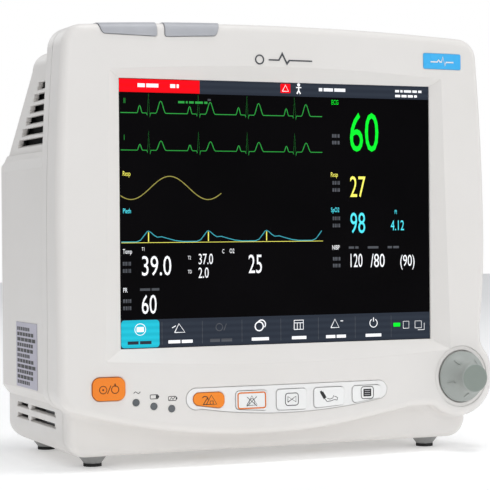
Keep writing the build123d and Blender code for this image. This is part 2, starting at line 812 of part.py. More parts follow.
# ---- rear connector panel ----
panel_y1 = rear_y - wall
panel_y0 = panel_y1 - panel_thick
inlet_x = panel_x0 + panel_w - 27
inlet_z = panel_z0 + panel_h / 2
network_x = panel_x0 + 16
usb_x = panel_x0 + 38
post_x = panel_x0 + 54
post_z = inlet_z + 12
inlet_wall = 1.6
port_wall = 2.0
usb_all_h = usb_pitch + usb_h + 2.6


def port_block(x, w, h, y0, y1):
    return block(x - w / 2, x + w / 2, y0, y1, inlet_z - h / 2, inlet_z + h / 2)


panel = block(panel_x0 - 5, panel_x0 + panel_w + 5, panel_y0, panel_y1, panel_z0 - 5, panel_z0 + panel_h + 5)
ports = {
    "mains_inlet": (inlet_x, inlet_w + 2 * inlet_wall, inlet_h + 2 * inlet_wall + 0.8, panel_y1 - inlet_deep - 4),
    "network_port": (network_x, network_w + 2 * port_wall, network_h + 2.5 * port_wall, panel_y1 - port_deep - 6),
    "usb_ports": (usb_x, usb_w + 1.5 * port_wall, usb_all_h, panel_y1 - port_deep - 4),
}
for x, w, h, y0 in ports.values():
    panel -= port_block(x, w + 0.4, h + 0.4, panel_y0 - 1, panel_y1 + 1)
panel -= rod_y(panel_y0 - 1, panel_y1 + 1, post_x, post_z, post_r + 0.2)
save(panel, "rear_panel")

x, w, h, y0 = ports["mains_inlet"]
inlet = port_block(x, w + 22, h + 4.6, panel_y1, panel_y1 + 2.4)
inlet += port_block(x, w, h, y0, panel_y1)
inlet -= port_block(x, inlet_w, inlet_h, panel_y1 - inlet_deep, panel_y1 + 3)
save(inlet, "mains_inlet")
blades = [block(inlet_x + dx - 1, inlet_x + dx + 1, panel_y1 - inlet_deep, panel_y1 - 2,
                inlet_z + dz - 2, inlet_z + dz + 2) for dx, dz in ((-7, -2), (0, 2), (7, -2))]
save(group(blades), "mains_inlet_blades")

post = rod_y(panel_y1, panel_y1 + 2, post_x, post_z, post_r + 2)
post += rod_y(panel_y0 - 6, panel_y1 + post_proud, post_x, post_z, post_r)
save(post, "equipotential_post")
x, w, h, y0 = ports["network_port"]
network = port_block(x, w, h, y0, panel_y1 + 0.5)
network -= port_block(x, network_w, network_h, panel_y1 - port_deep, panel_y1 + 1)
save(network, "network_port")
x, w, h, y0 = ports["usb_ports"]
usb = port_block(x, w, h, y0, panel_y1 + 0.5)
for side in (-1, 1):
    usb -= Pos(0, 0, side * usb_pitch / 2) * port_block(x, usb_w, usb_h, panel_y1 - port_deep, panel_y1 + 1)
save(usb, "usb_ports")

# ---- patient connector panel on the right side ----
side_x = body_half_w - wall
side_x0 = side_x - 2.4
side_y1 = socket_y0 + socket_panel_y
side_z1 = socket_z0 + socket_panel_h
col_a = socket_y0 + 19
col_b = socket_y0 + 48
row = [socket_z0 + 15, socket_z0 + 42, socket_z0 + 69]
sockets = {
    "ecg_socket": [(col_a, row[2], 11.0, 7.0, 12.0)],
    "spo2_socket": [(col_b, row[2], 9.5, 5.5, 11.0)],
    "temperature_sockets": [(col_a, row[1], 6.5, 3.2, 12.0), (col_b, row[1], 6.5, 3.2, 12.0)],
    "oxygen_socket": [(col_a, row[0], 8.5, 4.8, 11.0)],
    "cuff_hose_port": [(col_b, row[0], 7.5, 2.4, 14.0)],
}
side_panel = block(side_x0, side_x, socket_y0 - 5, side_y1 + 5, socket_z0 - 5, side_z1 + 5)
for places in sockets.values():
    for y, z, r_out, r_in, deep in places:
        side_panel -= rod_x(side_x0 - 1, side_x + 1, y, z, r_out - 1.9)
save(side_panel, "connector_panel")


def make_socket(y, z, r_out, r_in, deep):
    mouth = side_x + wall + socket_proud
    body = rod_x(side_x, mouth, y, z, r_out) + rod_x(mouth - deep - 4, side_x, y, z, r_out - 2)
    body = fillet(body.faces().sort_by(Axis.X)[-1].edges(), 0.8)
    return body - rod_x(mouth - deep, mouth + 1, y, z, r_in)


for name, places in sockets.items():
    save(group([make_socket(*place) for place in places]), name)

# ---- chassis and electronics ----
back_x = 118.0
chassis_y = glass_y + 22
shelf_y1 = rear_y - 26
low_shelf = floor_z + 45
mid_shelf = battery_z0 + battery_h + 5
chassis = block(-back_x, back_x, chassis_y, chassis_y + sheet, low_shelf, screen_top + 5)
chassis += block(-back_x, back_x - 4, chassis_y, shelf_y1, low_shelf - sheet, low_shelf)
chassis += block(-back_x, battery_x0 + battery_w + 8, chassis_y, shelf_y1, mid_shelf, mid_shelf + sheet)
save(chassis, "chassis")

board_y0 = chassis_y + sheet + 6
board_z0 = mid_shelf + 33
board_z1 = screen_top - 4
board_half_w = screen_w / 2 + 0.35
save(block(-board_half_w, board_half_w, board_y0, board_y0 + board_thick, board_z0, board_z1), "main_board")
spacers = [rod_y(chassis_y + sheet, board_y0, x, z, 2.6)
           for x in (6 - board_half_w, board_half_w - 6) for z in (board_z0 + 6, board_z1 - 6)]
chip_y0 = board_y0 + board_thick
chips = [
    block(-60, -32, chip_y0, chip_y0 + 3, board_z0 + 22, board_z0 + 50),
    block(-12, 2, chip_y0, chip_y0 + 1.4, board_z0 + 26, board_z0 + 48),
    block(14, 28, chip_y0, chip_y0 + 1.4, board_z0 + 26, board_z0 + 48),
    block(-90, -72, chip_y0, chip_y0 + 8, board_z0 + 6, board_z0 + 18),
    block(50, 90, chip_y0, chip_y0 + 9, board_z0 + 6, board_z0 + 14),
]
save(group(chips), "main_board_chips")

module_x1 = side_x0 - 14
save(block(module_x1 - 56, module_x1, chassis_y + sheet + 9, shelf_y1 - 2, low_shelf, low_shelf + 88),
     "measuring_module")
supply_x0 = battery_x0 + battery_w + 12
supply_x1 = module_x1 - 60
supply_z = low_shelf + 6
save(block(supply_x0, supply_x1, chassis_y + 14, shelf_y1 - 4, supply_z, supply_z + board_thick),
     "power_supply_board")
spacers += [rod_z(low_shelf, supply_z, x, y, 2.4)
            for x in (supply_x0 + 5, supply_x1 - 5) for y in (chassis_y + 20, shelf_y1 - 10)]
save(group(spacers), "board_spacers")
part_z = supply_z + board_thick
save(block(supply_x0 + 8, supply_x0 + 42, chassis_y + 26, chassis_y + 56, part_z, part_z + 26), "transformer")
caps = [rod_z(part_z, part_z + 24, supply_x1 - 12, chassis_y + 28 + 20 * i, 8) for i in range(3)]
save(group(caps), "supply_capacitors")

pump_y = chassis_y + 44
pump_z = mid_shelf + sheet + 14
save(rod_x(-104, -44, pump_y, pump_z, 13.5) + block(-96, -60, pump_y - 9, pump_y + 9, mid_shelf + sheet, pump_z),
     "cuff_pump")
save(block(-36, -14 - 12, pump_y - 10, pump_y + 10, mid_shelf + sheet, mid_shelf + sheet + 26)
     + rod_z(mid_shelf + sheet + 26, mid_shelf + sheet + 32, -31, pump_y, 2.5), "cuff_valve")
speaker_x = -chin_half_w + wall + 1
speaker = rod_x(speaker_x, speaker_x + 3, glass_y + 52, floor_z + 21, 12)
speaker += rod_x(speaker_x + 3, speaker_x + 10, glass_y + 52, floor_z + 21, 8)
save(speaker, "loudspeaker")

print("pieces written:", len(os.listdir("parts")))
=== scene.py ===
"""A bedside patient monitor: finishes, the lit picture and small fittings around its CAD frame."""
import json
import math

import bpy
from mathutils import Matrix, Vector


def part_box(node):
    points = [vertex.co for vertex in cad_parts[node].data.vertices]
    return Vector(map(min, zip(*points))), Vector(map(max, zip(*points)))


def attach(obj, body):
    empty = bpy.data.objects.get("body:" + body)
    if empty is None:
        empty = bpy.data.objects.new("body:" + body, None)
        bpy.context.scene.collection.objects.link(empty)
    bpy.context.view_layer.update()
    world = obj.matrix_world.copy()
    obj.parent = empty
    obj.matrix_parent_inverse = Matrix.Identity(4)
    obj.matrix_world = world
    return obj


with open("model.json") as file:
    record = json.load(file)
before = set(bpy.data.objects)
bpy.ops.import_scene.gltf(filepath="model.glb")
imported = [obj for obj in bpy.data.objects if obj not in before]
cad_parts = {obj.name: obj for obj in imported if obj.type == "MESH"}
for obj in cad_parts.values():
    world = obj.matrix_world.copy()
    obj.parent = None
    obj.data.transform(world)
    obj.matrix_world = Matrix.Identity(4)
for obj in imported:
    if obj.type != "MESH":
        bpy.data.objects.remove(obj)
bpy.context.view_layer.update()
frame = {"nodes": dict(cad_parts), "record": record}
bpy.ops.object.select_all(action="DESELECT")

MM = 0.001
nodes = frame["nodes"]


# ---------------------------------------------------------------- places taken from the frame
glass_low, glass_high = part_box("screen_glass")
GLASS_RIM = 4.0 * MM
GLASS_Y = glass_low.y
SCREEN_L = glass_low.x + GLASS_RIM
SCREEN_R = glass_high.x - GLASS_RIM
SCREEN_B = glass_low.z + GLASS_RIM
SCREEN_T = glass_high.z - GLASS_RIM
MID_X = (SCREEN_L + SCREEN_R) / 2
MID_Z = (SCREEN_B + SCREEN_T) / 2


# ---------------------------------------------------------------- camera, light and floor
CAMERA_AT = (-0.4510, -1.0627, 0.1384)
CAMERA_TURN, CAMERA_TIP, CAMERA_ROLL = -23.349, 0.376, 0.433
CAMERA_LENS = 131.08
CASE_MIDDLE = (0, 0, 0.13)
AMBIENT = 0.46


def place_camera():
    turn, tip, roll = (math.radians(angle) for angle in (CAMERA_TURN, CAMERA_TIP, CAMERA_ROLL))
    back = Vector((math.sin(turn) * math.cos(tip), -math.cos(turn) * math.cos(tip), math.sin(tip)))
    right = Vector((math.cos(turn), math.sin(turn), 0))
    up = back.cross(right)
    side = right * math.cos(roll) - up * math.sin(roll)
    top = right * math.sin(roll) + up * math.cos(roll)
    data = bpy.data.cameras.new("camera")
    data.lens = CAMERA_LENS
    data.sensor_width = 36
    data.clip_start = 0.05
    camera = bpy.data.objects.new("camera", data)
    rows = [(side[i], top[i], back[i], CAMERA_AT[i]) for i in range(3)]
    camera.matrix_world = Matrix((*rows, (0, 0, 0, 1)))
    bpy.context.scene.collection.objects.link(camera)
    bpy.context.scene.camera = camera


def area_light(name, spot, aim, size, power):
    data = bpy.data.lights.new(name, "AREA")
    data.shape = "DISK"
    data.size = size
    data.energy = power
    light = bpy.data.objects.new(name, data)
    light.location = spot
    light.rotation_euler = (Vector(aim) - Vector(spot)).to_track_quat("-Z", "Y").to_euler()
    bpy.context.scene.collection.objects.link(light)


def studio():
    area_light("front", (-0.15, -2.0, 1.05), CASE_MIDDLE, 1.3, 8)
    area_light("top", (0.15, -0.35, 1.9), (0, 0, 0.1), 0.9, 13)
    area_light("right", (1.7, -0.5, 0.9), CASE_MIDDLE, 0.9, 4)
    area_light("back", (-0.7, 1.7, 1.1), (0, 0, 0.1), 1.0, 5)
    world = bpy.data.worlds.new("studio")
    world.use_nodes = True
    tree = world.node_tree
    soft = tree.nodes["Background"]
    soft.inputs["Color"].default_value = (0.95, 0.97, 1.0, 1)
    soft.inputs["Strength"].default_value = AMBIENT
    white = tree.nodes.new("ShaderNodeBackground")
    white.inputs["Color"].default_value = (1, 1, 1, 1)
    white.inputs["Strength"].default_value = 1.0
    seen = tree.nodes.new("ShaderNodeMixShader")
    tree.links.new(tree.nodes.new("ShaderNodeLightPath").outputs["Is Camera Ray"], seen.inputs["Fac"])
    tree.links.new(soft.outputs["Background"], seen.inputs[1])
    tree.links.new(white.outputs["Background"], seen.inputs[2])
    tree.links.new(seen.outputs["Shader"], tree.nodes["World Output"].inputs["Surface"])
    bpy.context.scene.world = world
    bpy.context.scene.view_settings.view_transform = "Standard"


# ---------------------------------------------------------------- materials
def start(name):
    material = bpy.data.materials.new(name)
    material.use_nodes = True
    tree = material.node_tree
    return material, tree, tree.nodes["Principled BSDF"]


def add(tree, kind, **values):
    node = tree.nodes.new(kind)
    for key, value in values.items():
        if hasattr(node, key):
            setattr(node, key, value)
        else:
            node.inputs[key.replace("_", " ")].default_value = value
    return node


def coords(tree, stretch=None):
    where = add(tree, "ShaderNodeTexCoord").outputs["Object"]
    if stretch is None:
        return where
    mapping = add(tree, "ShaderNodeMapping", Scale=stretch)
    tree.links.new(where, mapping.inputs["Vector"])
    return mapping.outputs["Vector"]


def noise(tree, where, size, detail=3.0):
    """Noise whose features are about size metres across."""
    node = add(tree, "ShaderNodeTexNoise", Scale=1 / size, Detail=detail)
    tree.links.new(where, node.inputs["Vector"])
    return node.outputs["Fac"]


def between(tree, factor, low, high, lo=0.3, hi=0.7):
    """A colour that runs from low to high as factor goes from lo to hi."""
    ramp = add(tree, "ShaderNodeValToRGB")
    ramp.color_ramp.elements[0].position = lo
    ramp.color_ramp.elements[1].position = hi
    ramp.color_ramp.elements[0].color = (*low, 1)
    ramp.color_ramp.elements[1].color = (*high, 1)
    tree.links.new(factor, ramp.inputs["Fac"])
    return ramp.outputs["Color"]


def spread(tree, factor, low, high):
    node = add(tree, "ShaderNodeMapRange")
    node.inputs["From Min"].default_value = 0.3
    node.inputs["From Max"].default_value = 0.7
    node.inputs["To Min"].default_value = low
    node.inputs["To Max"].default_value = high
    tree.links.new(factor, node.inputs["Value"])
    return node.outputs["Result"]


def surface(tree, shader, height, depth, edge=0.0):
    """Bump of the given depth in metres, over edges softened by the radius edge."""
    bump = add(tree, "ShaderNodeBump", Strength=1.0, Distance=depth)
    tree.links.new(height, bump.inputs["Height"])
    if edge > 0:
        soft = add(tree, "ShaderNodeBevel", Radius=edge)
        soft.samples = 4
        tree.links.new(soft.outputs["Normal"], bump.inputs["Normal"])
    tree.links.new(bump.outputs["Normal"], shader.inputs["Normal"])


def moulded(name, low, high, rough=(0.42, 0.52), grain=0.0007, depth=0.00002, patch=0.05, edge=0.0004):
    """Injection-moulded plastic: slow tone changes, fine grain, softened edges."""
    material, tree, shader = start(name)
    where = coords(tree)
    tree.links.new(between(tree, noise(tree, where, patch, 4), low, high), shader.inputs["Base Color"])
    fine = noise(tree, where, grain, 2)
    tree.links.new(spread(tree, noise(tree, where, patch / 3), *rough), shader.inputs["Roughness"])
    surface(tree, shader, fine, depth, edge)
    shader.inputs["Specular IOR Level"].default_value = 0.4
    return material


def metal(name, low, high, rough=(0.25, 0.4), lines=(1, 1, 30), grain=0.004):
    """Brushed, turned or plated metal: streaks along the stretched direction."""
    material, tree, shader = start(name)
    streaks = noise(tree, coords(tree, lines), grain, 5)
    tree.links.new(between(tree, streaks, low, high), shader.inputs["Base Color"])
    tree.links.new(spread(tree, streaks, *rough), shader.inputs["Roughness"])
    shader.inputs["Metallic"].default_value = 1.0
    surface(tree, shader, streaks, 0.000008, 0.0003)
    return material


ROW_PITCH = 0.6 * MM


def glowing(name, low, high, power):
    """Lit picture elements, with the fine rows of a flat display."""
    material, tree, shader = start(name)
    rows = add(tree, "ShaderNodeTexWave", bands_direction="Z", Scale=1 / ROW_PITCH / 20, Distortion=0.0)
    tree.links.new(coords(tree), rows.inputs["Vector"])
    colour = between(tree, rows.outputs["Fac"], low, high, 0.1, 0.9)
    tree.links.new(colour, shader.inputs["Emission Color"])
    shader.inputs["Base Color"].default_value = (*[c * 0.25 for c in high], 1)
    shader.inputs["Emission Strength"].default_value = power
    shader.inputs["Roughness"].default_value = 0.45
    shader.inputs["Specular IOR Level"].default_value = 0.1
    return material


def screen_glass_material():
    material, tree, shader = start("dark_screen_glass")
    where = coords(tree)
    sparkle = noise(tree, where, 0.0004, 2)
    tone = between(tree, noise(tree, where, 0.06), (0.0008, 0.0006, 0.001), (0.0018, 0.0014, 0.002))
    tree.links.new(tone, shader.inputs["Base Color"])
    tree.links.new(spread(tree, sparkle, 0.34, 0.42), shader.inputs["Roughness"])
    surface(tree, shader, sparkle, 0.000002)
    shader.inputs["Specular IOR Level"].default_value = 0.04
    return material


def lens_material():
    material, tree, shader = start("smoky_alarm_lens")
    where = coords(tree)
    tree.links.new(between(tree, noise(tree, where, 0.02), (0.50, 0.51, 0.545), (0.55, 0.56, 0.595)),
                   shader.inputs["Base Color"])
    ribs = add(tree, "ShaderNodeTexWave", bands_direction="X", Scale=25.0, Distortion=0.0)
    tree.links.new(where, ribs.inputs["Vector"])
    surface(tree, shader, ribs.outputs["Fac"], 0.00002, 0.0005)
    shader.inputs["Roughness"].default_value = 0.4
    shader.inputs["Transmission Weight"].default_value = 0.15
    shader.inputs["Specular IOR Level"].default_value = 0.3
    return material


def board_material():
    material, tree, shader = start("solder_mask_board")
    where = coords(tree)
    cells = add(tree, "ShaderNodeTexVoronoi", feature="DISTANCE_TO_EDGE", Scale=180.0)
    tree.links.new(where, cells.inputs["Vector"])
    tracks = between(tree, cells.outputs["Distance"], (0.06, 0.28, 0.12), (0.015, 0.13, 0.05), 0.03, 0.06)
    tree.links.new(tracks, shader.inputs["Base Color"])
    surface(tree, shader, cells.outputs["Distance"], 0.00003)
    shader.inputs["Roughness"].default_value = 0.35
    return material


def dial_material():
    """Grey-green plastic whose flat tip is a darker, greener tone."""
    material, tree, shader = start("grey_green_dial")
    where = coords(tree)
    split = add(tree, "ShaderNodeSeparateXYZ")
    tree.links.new(where, split.inputs["Vector"])
    tip = add(tree, "ShaderNodeMapRange")
    tip.inputs["From Min"].default_value = DIAL_TIP_Y + 0.00015
    tip.inputs["From Max"].default_value = DIAL_TIP_Y + 0.0006
    tree.links.new(split.outputs["Y"], tip.inputs["Value"])
    wear = add(tree, "ShaderNodeMath", operation="MULTIPLY_ADD")
    tree.links.new(noise(tree, where, 0.006, 4), wear.inputs[0])
    wear.inputs[1].default_value = 0.25
    tree.links.new(tip.outputs["Result"], wear.inputs[2])
    tone = between(tree, wear.outputs["Value"], (0.235, 0.275, 0.245), (0.36, 0.385, 0.365), 0.0, 1.2)
    tree.links.new(tone, shader.inputs["Base Color"])
    surface(tree, shader, noise(tree, where, 0.0008, 2), 0.00003, 0.0005)
    shader.inputs["Roughness"].default_value = 0.45
    return material


DIAL_TIP_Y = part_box("dial_knob")[0].y
FINISHES = {
    "case_plastic": moulded("warm_white_case", (0.79, 0.765, 0.735), (0.815, 0.79, 0.765), (0.38, 0.47), 0.0006,
                            0.000012, 0.09, 0.0008),
    "door_plastic": moulded("warm_white_door", (0.76, 0.74, 0.715), (0.79, 0.77, 0.745), (0.40, 0.5),
                            0.0006),
    "panel_plastic": moulded("slate_socket_panel", (0.20, 0.225, 0.25), (0.24, 0.265, 0.29), (0.45,
                             0.6)),
    "seal_rubber": moulded("grey_case_seal", (0.17, 0.17, 0.17), (0.22, 0.22, 0.22), (0.7, 0.85), 0.001),
    "screen_glass": screen_glass_material(),
    "display": moulded("dark_display_back", (0.01, 0.01, 0.012), (0.02, 0.02, 0.024), (0.3, 0.5)),
    "sheet_steel": metal("zinc_sheet", (0.50, 0.51, 0.52), (0.62, 0.63, 0.64), (0.3, 0.5), (6, 6, 6),
                         0.05),
    "lens_plastic": lens_material(),
    "strip_plastic": moulded("white_key_strip", (0.86, 0.855, 0.845), (0.90, 0.895, 0.885), (0.4,
                             0.5), 0.0005),
    "key_white": moulded("white_key", (0.88, 0.88, 0.87), (0.92, 0.92, 0.91), (0.34, 0.44), 0.0005,
                         0.00001),
    "key_orange": moulded("orange_key", (0.93, 0.23, 0.012), (0.97, 0.28, 0.02), (0.34, 0.44),
                          0.0005, 0.00001),
    "light_pipe": moulded("smoked_light_pipe", (0.09, 0.10, 0.11), (0.13, 0.14, 0.15), (0.15, 0.25),
                          0.002),
    "badge_blue": moulded("blue_badge", (0.05, 0.46, 0.90), (0.07, 0.50, 0.94), (0.25, 0.32), 0.002),
    "emblem_grey": moulded("dark_emblem", (0.05, 0.055, 0.065), (0.075, 0.08, 0.09), (0.3, 0.4)),
    "board": board_material(),
    "component_black": moulded("black_component", (0.012, 0.012, 0.014), (0.028, 0.028, 0.03), (0.4,
                               0.6)),
    "encoder_metal": metal("turned_encoder", (0.5, 0.5, 0.51), (0.66, 0.66, 0.67)),
    "encoder_plastic": moulded("black_plunger", (0.015, 0.015, 0.015), (0.03, 0.03, 0.03)),
    "dial_plastic": dial_material(),
    "foot_plastic": moulded("grey_foot", (0.30, 0.30, 0.295), (0.36, 0.36, 0.355), (0.45, 0.6)),
    "foot_rubber": moulded("black_foot_pad", (0.012, 0.012, 0.012), (0.03, 0.03, 0.03), (0.75, 0.9),
                           0.001),
    "brass": metal("turned_brass", (0.62, 0.44, 0.17), (0.78, 0.58, 0.27)),
    "screw_steel": metal("zinc_screw", (0.42, 0.42, 0.44), (0.58, 0.58, 0.6)),
    "grip_rubber": moulded("soft_grip", (0.10, 0.11, 0.12), (0.14, 0.15, 0.16), (0.65, 0.8), 0.0012,
                           0.00008),
    "label": moulded("lavender_label", (0.49, 0.475, 0.56), (0.53, 0.515, 0.60), (0.4, 0.55), 0.003),
    "battery_case": moulded("black_battery", (0.02, 0.02, 0.022), (0.035, 0.035, 0.038), (0.4, 0.6)),
    "bay_plastic": moulded("dark_battery_bay", (0.045, 0.045, 0.047), (0.07, 0.07, 0.073), (0.5, 0.7)),
    "panel_metal": metal("satin_rear_panel", (0.50, 0.51, 0.52), (0.60, 0.61, 0.62), (0.3, 0.45), (1,
                         1, 25)),
    "inlet_plastic": moulded("black_inlet", (0.012, 0.012, 0.013), (0.028, 0.028, 0.03), (0.4, 0.6)),
    "post_metal": metal("nickel_post", (0.6, 0.57, 0.5), (0.72, 0.69, 0.62)),
    "port_metal": metal("nickel_port", (0.5, 0.5, 0.5), (0.64, 0.64, 0.64)),
    "socket_grey": moulded("grey_socket", (0.10, 0.11, 0.125), (0.14, 0.15, 0.165), (0.4, 0.55)),
    "socket_blue": moulded("blue_socket", (0.012, 0.06, 0.30), (0.02, 0.09, 0.38), (0.35, 0.5)),
    "socket_white": moulded("pale_socket", (0.58, 0.58, 0.56), (0.64, 0.64, 0.62), (0.4, 0.55)),
    "port_nickel": metal("nickel_hose_port", (0.60, 0.58, 0.54), (0.75, 0.73, 0.69), (0.15, 0.28)),
    "module_cover": metal("folded_cover", (0.52, 0.53, 0.54), (0.62, 0.63, 0.64), (0.35, 0.5), (1,
                          25, 1)),
    "transformer_core": metal("varnished_core", (0.09, 0.085, 0.08), (0.15, 0.14, 0.13), (0.4, 0.6),
                              (1, 40, 1)),
    "capacitor_sleeve": moulded("capacitor_sleeve", (0.015, 0.02, 0.08), (0.03, 0.04, 0.13), (0.25,
                                0.4)),
    "pump_metal": metal("pump_can", (0.45, 0.45, 0.46), (0.58, 0.58, 0.6)),
    "valve_brass": metal("valve_body", (0.58, 0.45, 0.2), (0.72, 0.57, 0.28)),
    "speaker_steel": metal("speaker_basket", (0.08, 0.08, 0.085), (0.16, 0.16, 0.17), (0.4, 0.6)),
}

for part in frame["record"]["subparts"]:
    mesh = nodes[part["node"]].data
    mesh.materials.clear()
    mesh.materials.append(FINISHES[part["material_slot"]])


# ---------------------------------------------------------------- modelling helpers
def settle(name, material, body="housing"):
    """Names the active object, puts its place in its mesh, and lets it ride."""
    piece = bpy.context.object
    bpy.ops.object.transform_apply(location=True, rotation=True, scale=True)
    piece.name = name
    piece.data.name = name
    piece.data.materials.clear()
    piece.data.materials.append(material)
    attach(piece, body)
    bpy.ops.object.select_all(action="DESELECT")
    return piece


def join(pieces):
    bpy.ops.object.select_all(action="DESELECT")
    for piece in pieces:
        piece.select_set(True)
    bpy.context.view_layer.objects.active = pieces[0]
    if len(pieces) > 1:
        bpy.ops.object.join()


def finish_modifier(kind, **values):
    modifier = bpy.context.object.modifiers.new(kind.lower(), kind)
    for key, value in values.items():
        setattr(modifier, key, value)
    bpy.ops.object.modifier_apply(modifier=modifier.name)


SHEET = 0.4 * MM


LINE_HEIGHT = 1.37


def words(text, x, z, height, squeeze):
    """Figures that stand on (x, z), as a thin sheet about y = 0 that faces -Y."""
    bpy.ops.object.text_add(location=(x, 0, z), rotation=(math.pi / 2, 0, 0))
    item = bpy.context.object
    item.data.body = text
    item.data.size = height * LINE_HEIGHT
    item.data.resolution_u = 3
    item.data.extrude = SHEET / 2
    item.scale.x = squeeze
    bpy.ops.object.convert(target="MESH")
    bpy.ops.object.transform_apply(location=True, rotation=True, scale=True)
    return bpy.context.object


def draw_through(points):
    """Extrudes one vertex through the points, and leaves the line in edit mode."""
    bpy.ops.mesh.primitive_plane_add(size=1 * MM, location=points[0])
    bpy.ops.object.mode_set(mode="EDIT")
    bpy.ops.mesh.merge(type="CENTER")
    last = points[0]
    for point in points[1:]:
        step = [there - here for there, here in zip(point, last)]
        bpy.ops.mesh.extrude_region_move(TRANSFORM_OT_translate={"value": step})
        last = point


def stroke(points, width, closed=False):
    """A round line of the given width through (x, z) points in the plane y = 0."""
    draw_through([(x, 0, z) for x, z in points])
    if closed:
        bpy.ops.mesh.select_all(action="SELECT")
        bpy.ops.mesh.remove_doubles(threshold=width * 0.1)
    bpy.ops.object.mode_set(mode="OBJECT")
    bpy.ops.object.convert(target="CURVE")
    path = bpy.context.object
    path.data.bevel_depth = width / 2
    path.data.bevel_resolution = 1
    path.data.use_fill_caps = True
    bpy.ops.object.convert(target="MESH")
    bpy.ops.object.transform_apply(location=True, rotation=True, scale=True)
    return bpy.context.object


def tile(x0, x1, z0, z1, r=0.0):
    """A thin sheet about y = 0, with corners rounded to r."""
    bpy.ops.mesh.primitive_plane_add(size=1, location=((x0 + x1) / 2, 0, (z0 + z1) / 2),
                                     rotation=(math.pi / 2, 0, 0))
    plate = bpy.context.object
    plate.scale = (x1 - x0, z1 - z0, 1)
    bpy.ops.object.transform_apply(location=True, rotation=True, scale=True)
    if r > 0:
        bpy.ops.object.mode_set(mode="EDIT")
        bpy.ops.mesh.select_all(action="SELECT")
        bpy.ops.mesh.bevel(offset=r, segments=6, affect="VERTICES")
        bpy.ops.object.mode_set(mode="OBJECT")
    finish_modifier("SOLIDIFY", thickness=SHEET, offset=0)
    return plate


def dot(x, z, r):
    bpy.ops.mesh.primitive_circle_add(radius=r, vertices=24, fill_type="NGON", location=(x, 0, z),
                                      rotation=(math.pi / 2, 0, 0))
    bpy.ops.object.transform_apply(location=True, rotation=True, scale=True)
    finish_modifier("SOLIDIFY", thickness=SHEET, offset=0)
    return bpy.context.object


def arc(cx, cz, r, start_deg, end_deg, count=10):
    turn = math.radians(end_deg - start_deg) / count
    first = math.radians(start_deg)
    return [(cx + r * math.cos(first + i * turn), cz + r * math.sin(first + i * turn))
            for i in range(count + 1)]


def rounded_loop(x0, x1, z0, z1, r, count=4):
    loop = arc(x1 - r, z1 - r, r, 0, 90, count) + arc(x0 + r, z1 - r, r, 90, 180, count)
    loop += arc(x0 + r, z0 + r, r, 180, 270, count) + arc(x1 - r, z0 + r, r, 270, 360, count)
    return loop + [loop[0]]


def lay(name, pieces, material, spot, turn=(0, 0, 0), thick=0.05 * MM, body="housing"):
    """Joins flat items, squeezes them to one thickness, and sets them at spot."""
    join(pieces)
    piece = bpy.context.object
    piece.scale.y = thick / piece.dimensions.y
    bpy.ops.object.transform_apply(location=True, rotation=True, scale=True)
    piece.rotation_euler = turn
    piece.location = spot
    return settle(name, material, body)


LAYER = 0.01 * MM


def lay_on_screen(name, pieces, material, layer):
    """Sets lit items over the glass; an item on a higher layer covers those on lower ones."""
    return lay(name, pieces, material, (0, GLASS_Y - (layer + 2) * LAYER, 0), thick=4 * LAYER)


# ---------------------------------------------------------------- the lit picture
GREEN = glowing("trace_green", (0.02, 0.30, 0.04), (0.03, 0.38, 0.06), 0.8)
BRIGHT_GREEN = glowing("figure_green", (0.0, 0.78, 0.02), (0.0, 0.88, 0.03), 1.0)
YELLOW = glowing("figure_yellow", (0.85, 0.80, 0.10), (0.95, 0.90, 0.16), 1.0)
DIM_YELLOW = glowing("trace_yellow", (0.30, 0.27, 0.06), (0.38, 0.34, 0.08), 0.8)
CYAN = glowing("figure_cyan", (0.06, 0.68, 0.80), (0.10, 0.76, 0.88), 1.0)
TEAL = glowing("trace_teal", (0.04, 0.30, 0.38), (0.05, 0.38, 0.46), 0.9)
WHITE = glowing("figure_white", (0.80, 0.82, 0.86), (0.92, 0.92, 0.94), 1.0)
GREY = glowing("small_grey", (0.06, 0.065, 0.075), (0.09, 0.095, 0.11), 0.9)
RED = glowing("alarm_red", (0.80, 0.0, 0.004), (0.90, 0.0, 0.008), 1.0)
BAR = glowing("bar_slate", (0.020, 0.026, 0.040), (0.026, 0.034, 0.050), 0.9)
TAB = glowing("tab_cyan", (0.01, 0.42, 0.55), (0.015, 0.50, 0.64), 0.95)


# Places on the picture are in millimetres from its middle.
TRACE_L, TRACE_R = -102.4, 29.0
BEATS = 4
BEAT_X, BEAT_PITCH = -84.8, 31.7
BREATH_L, BREATH_W, BREATH_Z = -102.8, 64.2, 15.2
BREATH_SWING, BREATH_WAVE, BREATH_START, BREATH_STEPS = 6.9, 49.0, -84.0, 48
PULSE_X, PULSE_PITCH, PULSE_Z = -85.4, 38.2, -16.7
PULSE_SHAPE = ((-7.5, 0), (-5, 1.0), (-2.8, 3.6), (-1, 5.9), (0, 6.3), (1.4, 5.6), (3.4, 3.9), (5.4, 2.7),
               (8.4, 2.9), (12, 1.9), (17, 0.6), (22, 0))
TOP_BAR_Z, MENU_BAR_Z = 71.4, -62.6
ALARM_R = -52.2
LIMIT_X, LIMIT_Z = 35.8, (46.6, 42.4, 17.6, 13.2, -4.4, -8.8, -29.4, -33.6)
LOW_LIMIT_X, LOW_LIMIT_Z = -101.6, (-30.6, -34.8, -52.6, -56.8)
SIGN_Z, TAB_MARK_Z = -68.4, -77.2
TAB_EDGES = (-77.4, -51.6, -25.8, 0.0, 25.4, 50.8, 76.0)


def sx(mm):
    return MID_X + mm * MM


def sz(mm):
    return MID_Z + mm * MM


def figure(text, x, z, height, squeeze=0.62):
    return words(text, sx(x), sz(z), height * MM, squeeze)


def line(points, width, closed=False):
    return stroke([(sx(x), sz(z)) for x, z in points], width * MM, closed)


